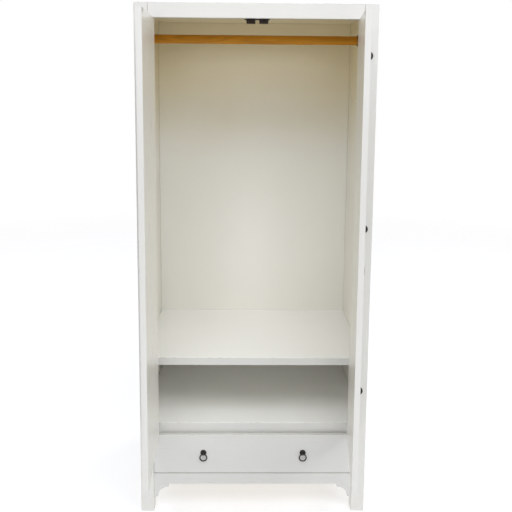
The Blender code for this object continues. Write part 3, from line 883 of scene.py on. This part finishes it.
def make_rod():
    """A dowel with eased ends, its surface a little uneven as turned by hand, in two sockets."""
    low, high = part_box("hanging_rod")
    middle = (low + high) / 2
    radius = (high.z - low.z) / 2
    length = high.x - low.x
    nick = ROD_NICK * ROD_EASE
    profile = [(0, 0), (radius - ROD_EASE, 0), (radius - nick, nick)]
    for k in range(ROD_RINGS + 1):
        share = k / ROD_RINGS
        uneven = ROD_UNEVEN * (math.sin(37 * share) + math.sin(91 * share + 1))
        profile.append((radius + uneven - ROD_SKIN, ROD_EASE + (length - 2 * ROD_EASE) * share))
    profile += [(radius - nick, length - nick), (radius - ROD_EASE, length), (0, length)]
    place = Matrix.Translation((low.x, middle.y, middle.z)) @ Matrix.Rotation(math.pi / 2, 4, "Y")
    thing = into_object("hanging_rod_oiled", turned_shape(profile, ROD_SIDES, place), ROD_WOOD)
    mount(thing, "carcass", "rod_wood", "hanging_rod")


def make_rod_sockets():
    """A turned flange with a rolled collar, held by three screws."""
    rod_low, rod_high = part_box("hanging_rod")
    bore = (rod_high.z - rod_low.z) / 2 + SOCKET_FIT
    collar = bore + SOCKET_WALL
    foot = collar + SOCKET_ROUND
    rise = SOCKET_PLATE + SOCKET_ROUND
    spots = []
    for side, sign in SIDES.items():
        low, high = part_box(f"{side}_rod_socket")
        middle = (low + high) / 2
        flange = (high.z - low.z) / 2
        length = high.x - low.x
        wall = sign * max(abs(low.x), abs(high.x))
        profile = [(0, 0), (flange, 0)]
        profile += bend((flange, SOCKET_RIM), (flange - SOCKET_ROUND, SOCKET_PLATE), 4, -1)
        profile += [(foot, SOCKET_PLATE)]
        profile += bend((foot, SOCKET_PLATE), (collar, rise), 4)
        profile += [(collar, length - SOCKET_LIP_HEIGHT), (collar + SOCKET_LIP, length - SOCKET_ROUND)]
        profile += [(collar + SOCKET_LIP, length - SOCKET_RIM), (collar - SOCKET_CHAMFER, length)]
        profile += [(bore, length), (bore, SOCKET_PLATE), (0, SOCKET_PLATE)]
        place = Matrix.Translation((wall, middle.y, middle.z)) @ Matrix.Rotation(-sign * math.pi / 2, 4, "Y")
        thing = into_object(f"{side}_rod_socket_blackened", turned_shape(profile, ROD_SIDES, place), BLACK)
        mount(thing, "carcass", "dark_metal", f"{side}_rod_socket")
        reach = (flange + collar) / 2 + 0.0005
        for k in range(SOCKET_SCREWS):
            angle = math.tau * k / SOCKET_SCREWS + math.pi / 2
            y = middle.y + reach * math.cos(angle)
            z = middle.z + reach * math.sin(angle)
            spots.append((Vector((wall - sign * SOCKET_PLATE, y, z)), Vector((-sign, 0, 0))))
    fasten("rod_socket_screws", spots, SOCKET_SCREW, SCREW_METAL, "carcass", "plated_steel")


def make_catch():
    """The moulded housing, a magnet and two pole plates in each block, and the screws from below."""
    finish_node("magnetic_catch", PLASTIC, "catch_plastic", square=PLASTIC_ARRIS)
    low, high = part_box("magnetic_catch")
    middle = (low + high) / 2
    plates = bmesh.new()
    magnets = bmesh.new()
    for sign in SIDES.values():
        x = middle.x + sign * MAGNET_OFFSET
        for shift in (-MAGNET_REACH, MAGNET_REACH):
            box_into(plates, Vector((x + shift, low.y + POLE_PLATE_BACK, low.z + MAGNET_UP)), POLE_PLATE)
        box_into(magnets, Vector((x, low.y + MAGNET_BACK, low.z + MAGNET_UP)), MAGNET_BLOCK)
    thing = flatten_faces(into_object("catch_pole_plates", plates, BLACK))
    mount(thing, "carcass", "dark_metal")
    thing = flatten_faces(into_object("catch_magnets", magnets, MAGNET))
    mount(thing, "carcass", "catch_plastic")
    spots = []
    for x in (low.x + CATCH_SCREW_INSET, middle.x, high.x - CATCH_SCREW_INSET):
        spots.append((Vector((x, middle.y, high.z - CATCH_BASE_THICK)), -UP))
    fasten("catch_screws", spots, CATCH_SCREW, SCREW_METAL, "carcass", "plated_steel")


# ------------------------------ doors


def door_place(side):
    """A door's own frame: its origin on the hinge axis, +Y from the outer face to the inner one."""
    joint = JOINTS[f"{side}_door_hinge"]
    turn = math.radians(-joint["range_deg"][0]) * SIDES[side]
    x, y, _ = joint["pos_m"]
    return Matrix.Translation((x, y, 0)) @ Matrix.Rotation(turn, 4, "Z"), turn


def box_in(node, place):
    """A CAD piece's lowest and highest corners in a door's own frame."""
    back = place.inverted()
    points = [back @ vertex.co for vertex in frame["nodes"][node].data.vertices]
    low = Vector([min(point[k] for point in points) for k in range(3)])
    high = Vector([max(point[k] for point in points) for k in range(3)])
    return low, high


def make_bead(name, low, high, depth, place, look, body):
    """A quarter-round bead, mitred at its corners, between the frame's inner edge and the panel."""
    profile = [(0.0, 0.0)]
    for k in range(BEAD_STEPS + 1):
        angle = math.pi / 2 * k / BEAD_STEPS
        profile.append((BEAD * math.cos(angle), -BEAD * math.sin(angle)))
    corners = [
        (low.x, low.z, 1, 1),
        (high.x, low.z, -1, 1),
        (high.x, high.z, -1, -1),
        (low.x, high.z, 1, -1),
    ]
    shape = bmesh.new()
    rings = []
    for x, z, right, up in corners:
        ring = []
        for across, out in profile:
            point = Vector((x + right * across, depth + out, z + up * across))
            ring.append(shape.verts.new(place @ point))
        rings.append(ring)
    count = len(profile)
    for k in range(4):
        first, second = rings[k], rings[(k + 1) % 4]
        for i in range(count):
            j = (i + 1) % count
            shape.faces.new([first[i], first[j], second[j], second[i]])
    bmesh.ops.recalc_face_normals(shape, faces=shape.faces)
    thing = into_object(name, shape, look, BEAD_SMOOTH_ANGLE)
    return mount(thing, body, "ivory_lacquer")


def make_door(side):
    """One door with its mitred frame, panel, bead, strike plate and pull."""
    place, turn = door_place(side)
    body = f"{side}_door"
    level = brushed_lacquer(f"ivory lacquer along the {side} door", WHITE, "X", turn)
    level_inside = brushed_lacquer(f"cream lacquer along the {side} door", DOOR_CREAM, "X", turn)
    inward = place.to_3x3() @ BACKWARD
    for piece in ("hinge_stile", "lock_stile"):
        thing = finish_node(f"{side}_door_{piece}", LACQUER["Z"])
        repaint(thing, DOOR_INSIDE, inward)
    for piece in ("top_rail", "bottom_rail"):
        thing = finish_node(f"{side}_door_{piece}", level)
        repaint(thing, level_inside, inward)
    thing = finish_node(f"{side}_door_panel", LACQUER["Z"], square=FINE_ARRIS)
    repaint(thing, DOOR_INSIDE, inward)

    panel_low, panel_high = box_in(f"{side}_door_panel", place)
    face = panel_low.y - BEAD_SINK
    make_bead(f"{side}_door_bead", panel_low, panel_high, face, place, LACQUER["Z"], body)

    finish_node(f"{side}_strike_plate", STEEL, "plated_steel", METAL_ARRIS, 0.0)
    strike_low, strike_high = box_in(f"{side}_strike_plate", place)
    spots = []
    for share in STRIKE_SCREWS:
        x = strike_low.x + (strike_high.x - strike_low.x) * share
        point = Vector((x, strike_high.y, (strike_low.z + strike_high.z) / 2))
        spots.append((place @ point, inward))
    name = f"{side}_strike_screws"
    fasten(name, spots, STRIKE_SCREW, SCREW_METAL, body, "plated_steel", STRIKE_SCREW_RISE)
    make_door_pull(side, place, body)


def hanging_ring(low, high):
    """A hanging ring's radius, its wire's radius, its middle and the pivot at its top."""
    wire = (high.y - low.y) / 2
    ring = (high.x - low.x) / 2 - wire
    middle = (low + high) / 2
    return ring, wire, middle, middle + UP * ring


def grow_ring(name, ring, wire, thinning, turn, centre):
    """A ring or an eye of round wire."""
    values = {
        "Ring radius": ring,
        "Wire radius": wire,
        "Thinning": thinning,
        "Turn": turn.to_euler(),
        "Centre": centre,
        "Finish": BLACK,
    }
    return grow(name, RING, values)


def make_door_pull(side, place, body):
    """A sunk dish with a rolled rim, its eye and the ring that lies in it."""
    dish = f"{side}_door_pull_dish"
    low, high = box_in(dish, place)
    middle = (low + high) / 2
    rim = (high.x - low.x) / 2
    face = low.y + DISH_RIM_RISE
    bowl = rim - DISH_RIM_WIDE
    depth = high.y - face
    inside = bowl - DISH_WALL
    floor = depth - DISH_WALL
    flat = inside * DISH_FLAT
    crest = -DISH_RIM_RISE
    profile = [(0, floor), (flat, floor)]
    profile += bend((flat, floor), (inside, floor * 0.45), 6)[1:]
    profile += [(inside, 0.0004)]
    profile += bend((inside, 0.0004), (inside + DISH_ROLL, crest), 4, -1)[1:]
    profile += [(rim - DISH_ROUND, crest)]
    profile += bend((rim - DISH_ROUND, crest), (rim, 0.0), 4)[1:]
    profile += [(bowl, 0.0), (bowl, depth), (0, depth)]
    centre = Vector((middle.x, face, middle.z))
    inward = place @ Matrix.Translation(centre) @ Matrix.Rotation(-math.pi / 2, 4, "X")
    shape = turned_shape(profile, PULL_SIDES, inward)

    ring, wire, ring_middle, pivot = hanging_ring(*box_in(f"{side}_door_pull_ring", place))
    turn = place.to_3x3().to_4x4()
    absorb_eye(shape, grow_ring(f"{side}_door_eye", *DOOR_EYE, 0.0, turn @ SIDEWAYS, place @ pivot))
    thing = into_object(f"{dish}_blackened", shape, BLACK)
    mount(thing, body, "dark_metal", dish)

    name = f"{side}_door_pull_ring_blackened"
    thing = grow_ring(name, ring, wire, DOOR_RING_THINNING, turn @ HANGING, place @ ring_middle)
    mount(thing, f"{side}_door_ring", "dark_metal", f"{side}_door_pull_ring")


def make_hinges(side):
    """Both leaves of each hinge with their screws, and the rounded tips of the pins."""
    sign = SIDES[side]
    place, _ = door_place(side)
    outward = place.to_3x3() @ FORWARD
    post_spots, door_spots, tips = [], [], []
    for level in LEVELS:
        node = f"{side}_{level}_hinge_post_leaf"
        finish_node(node, BLACK, "dark_metal", METAL_ARRIS, 0.0)
        low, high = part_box(node)
        middle = (low + high) / 2
        axis = JOINTS[f"{side}_door_hinge"]["pos_m"]
        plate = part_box(f"front_{side}_post")[0].y - LEAF_THICK
        half = (high.z - low.z) / 2
        reach = abs(max(abs(low.x), abs(high.x)) - abs(axis[0]))
        for across, up in LEAF_SCREWS:
            x = axis[0] + sign * across * reach
            post_spots.append((Vector((x, plate, middle.z + up * half)), FORWARD))
        for end in (-1, 1):
            tips.append((Vector((axis[0], axis[1], middle.z + end * half)), end * UP))

        node = f"{side}_{level}_hinge_door_leaf"
        finish_node(node, BLACK, "dark_metal", METAL_ARRIS, 0.0)
        low, high = box_in(node, place)
        width = max(abs(low.x), abs(high.x))
        half = (high.z - low.z) / 2
        for across, up in LEAF_SCREWS:
            point = Vector((-sign * across * width, LEAF_THICK, middle.z + up * half))
            door_spots.append((place @ point, outward))
    fasten(f"{side}_hinge_post_screws", post_spots, HINGE_SCREW, BLACK, "carcass", "dark_metal")
    name = f"{side}_hinge_door_screws"
    body = f"{side}_door"
    fasten(name, door_spots, HINGE_SCREW, BLACK, body, "dark_metal", seed=DOOR_SCREW_SEED)
    fasten(f"{side}_hinge_pin_tips", tips, TIP_RADIUS, BLACK, "carcass", "dark_metal", TIP_RISE, False)


# ------------------------------ drawer


def make_drawer():
    """The drawer's boards, the dovetail pins at its back corners and the nails of its bottom."""
    # The drawer front takes painted shade
    finish_node("drawer_front", SHADED_FRONT)
    for side in SIDES:
        finish_node(f"drawer_{side}_side", PALE_WOOD["Y"], "drawer_wood")
    finish_node("drawer_back", PALE_WOOD["X"], "drawer_wood")
    finish_node("drawer_bottom", PALE_WOOD["X"], "drawer_wood", square=FINE_ARRIS)

    back_low, back_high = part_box("drawer_back")
    spots = []
    for side, sign in SIDES.items():
        low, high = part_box(f"drawer_{side}_side")
        face = high.x if sign > 0 else low.x
        step = (high.z - low.z) / DOVETAILS
        for k in range(DOVETAILS):
            height = low.z + step * (k + 0.5)
            spots.append((Vector((face, (back_low.y + back_high.y) / 2, height)), UP))
    values = {
        "Length": back_high.y - back_low.y - DOVETAIL_SHOULDER,
        "Width": DOVETAIL_WIDTH,
        "Proud": DOVETAIL_PROUD,
        "Flare": DOVETAIL_FLARE,
        "Finish": END_GRAIN,
    }
    mount(grow("drawer_dovetail_pins", DOVETAIL, values, spots), "drawer", "drawer_wood")

    bottom_low, bottom_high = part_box("drawer_bottom")
    span = bottom_high.x - bottom_low.x - 2 * BOTTOM_NAIL_MARGIN
    nails = []
    for k in range(BOTTOM_NAILS):
        x = bottom_low.x + BOTTOM_NAIL_MARGIN + span * k / (BOTTOM_NAILS - 1)
        nails.append((Vector((x, bottom_high.y - BOTTOM_NAIL_INSET, bottom_low.z)), -UP))
    name = "drawer_bottom_pins"
    fasten(name, nails, PIN_HEAD, SCREW_METAL, "drawer", "plated_steel", PIN_RISE, False)


def make_drawer_pull(side):
    """A domed rose with a rolled rim, its eye, and the ring."""
    rose = f"drawer_{side}_pull_rose"
    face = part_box("drawer_front")[0].y
    low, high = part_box(rose)
    radius = (high.x - low.x) / 2
    centre_x = (low.x + high.x) / 2
    centre_z = high.z - radius
    ring, wire, ring_middle, pivot = hanging_ring(*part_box(f"drawer_{side}_pull_ring"))

    crown = radius - ROSE_BEAD_HALF
    valley = radius - ROSE_BEAD_WIDE
    dome = radius - ROSE_DOME_INSET
    profile = [(0, ROSE_BACK), (radius, ROSE_BACK)]
    profile += bend((radius, ROSE_EDGE), (crown, ROSE_BEAD_TOP), 4, -1)
    profile += bend((crown, ROSE_BEAD_TOP), (valley, ROSE_BEAD_FOOT), 4)[1:]
    profile += [(dome, ROSE_DOME_FOOT)]
    for k in range(1, ROSE_DOME_STEPS + 1):
        angle = math.pi / 2 * k / ROSE_DOME_STEPS
        lift = ROSE_DOME_FOOT + (ROSE_RISE - ROSE_DOME_FOOT) * math.sin(angle)
        profile.append((dome * math.cos(angle), lift))
    profile[-1] = (0, ROSE_RISE)
    place = Matrix.Translation((centre_x, face, centre_z)) @ Matrix.Rotation(math.pi / 2, 4, "X")
    shape = turned_shape(profile, PULL_SIDES, place)
    absorb_eye(shape, grow_ring(f"drawer_{side}_eye", *DRAWER_EYE, 0.0, SIDEWAYS, pivot))
    thing = into_object(f"{rose}_blackened", shape, BLACK)
    mount(thing, "drawer", "dark_metal", rose)

    name = f"drawer_{side}_pull_ring_blackened"
    thing = grow_ring(name, ring, wire, DRAWER_RING_THINNING, HANGING, ring_middle)
    mount(thing, f"drawer_{side}_ring", "dark_metal", f"drawer_{side}_pull_ring")


# ------------------------------ room


def make_floor():
    """A round pale floor, lit from below like a studio's shooting table, that fades out into white."""
    material, tree, shader, where = new_finish("pale studio floor")
    soft = noise(tree, where, 1.5, 3, 0.5)
    away = add_node(tree, "ShaderNodeVectorMath", {0: where}, operation="LENGTH").outputs["Value"]
    inputs = {
        "Base Color": blend_colours(tree, soft, *FLOOR_COLOURS),
        "Emission Color": (1, 1, 1, 1),
        "Emission Strength": FLOOR_GLOW,
        "Normal": bump(tree, noise(tree, where, 240, 2), 0.1, 0.0002),
        "Roughness": 0.85,
        "Alpha": between(tree, away, FLOOR_FADE_START, FLOOR_FADE_END, 1.0, 0.0),
    }
    set_inputs(tree, shader, inputs)
    shape = bmesh.new()
    reach = FLOOR_FADE_END + FLOOR_MARGIN
    bmesh.ops.create_circle(shape, cap_ends=True, segments=FLOOR_SIDES, radius=reach)
    bmesh.ops.translate(shape, vec=(0, 0, -FLOOR_DROP), verts=shape.verts)
    into_object("studio_floor", shape, material)


def add_area_light(name, place, target, size, power):
    """A softbox that faces its target and isn't seen itself."""
    light = bpy.data.lights.new(name, "AREA")
    light.shape = "RECTANGLE"
    light.size, light.size_y = size
    light.energy = power
    light.color = LIGHT_COLOUR
    lamp = bpy.data.objects.new(name, light)
    bpy.context.scene.collection.objects.link(lamp)
    lamp.location = place
    lamp.visible_camera = False
    lamp.rotation_euler = (Vector(target) - Vector(place)).to_track_quat("-Z", "Y").to_euler()


def make_lights():
    """A white room all round, whose walls show white and shine softly, and the softboxes."""
    world = bpy.data.worlds.new("studio")
    world.use_nodes = True
    tree = world.node_tree
    shine = tree.nodes["Background"]
    shine.inputs["Color"].default_value = (*LIGHT_COLOUR, 1)
    shine.inputs["Strength"].default_value = ROOM_LIGHT
    seen = add_node(tree, "ShaderNodeBackground", {"Color": (1, 1, 1, 1), "Strength": 1.0})
    path = add_node(tree, "ShaderNodeLightPath").outputs["Is Camera Ray"]
    both = add_node(tree, "ShaderNodeMixShader", {0: path, 1: shine.outputs[0], 2: seen.outputs[0]})
    tree.links.new(both.outputs[0], tree.nodes["World Output"].inputs["Surface"])
    bpy.context.scene.world = world
    for name, (place, target, size, power) in SOFTBOXES.items():
        add_area_light(name, place, target, size, power)


def make_camera():
    """A standing person's view of the front."""
    camera = bpy.data.cameras.new("camera")
    camera.sensor_width = SENSOR
    camera.lens = LENS
    camera.shift_y = SHIFT_UP
    holder = bpy.data.objects.new("camera", camera)
    bpy.context.scene.collection.objects.link(holder)
    turn = Matrix.Rotation(math.radians(CAMERA_TURN), 4, "Z")
    tilt = Matrix.Rotation(math.radians(90 + CAMERA_PITCH), 4, "X")
    roll = Matrix.Rotation(math.radians(CAMERA_ROLL), 4, "Z")
    holder.matrix_world = Matrix.Translation(CAMERA_PLACE) @ turn @ tilt @ roll
    bpy.context.scene.camera = holder


make_camera()
make_floor()
make_lights()
make_carcass()
make_back_pins()
make_rod()
make_rod_sockets()
make_catch()
for door_side in SIDES:
    make_door(door_side)
    make_hinges(door_side)
make_drawer()
for pull_side in SIDES:
    make_drawer_pull(pull_side)

bpy.context.scene.view_settings.view_transform = "Standard"
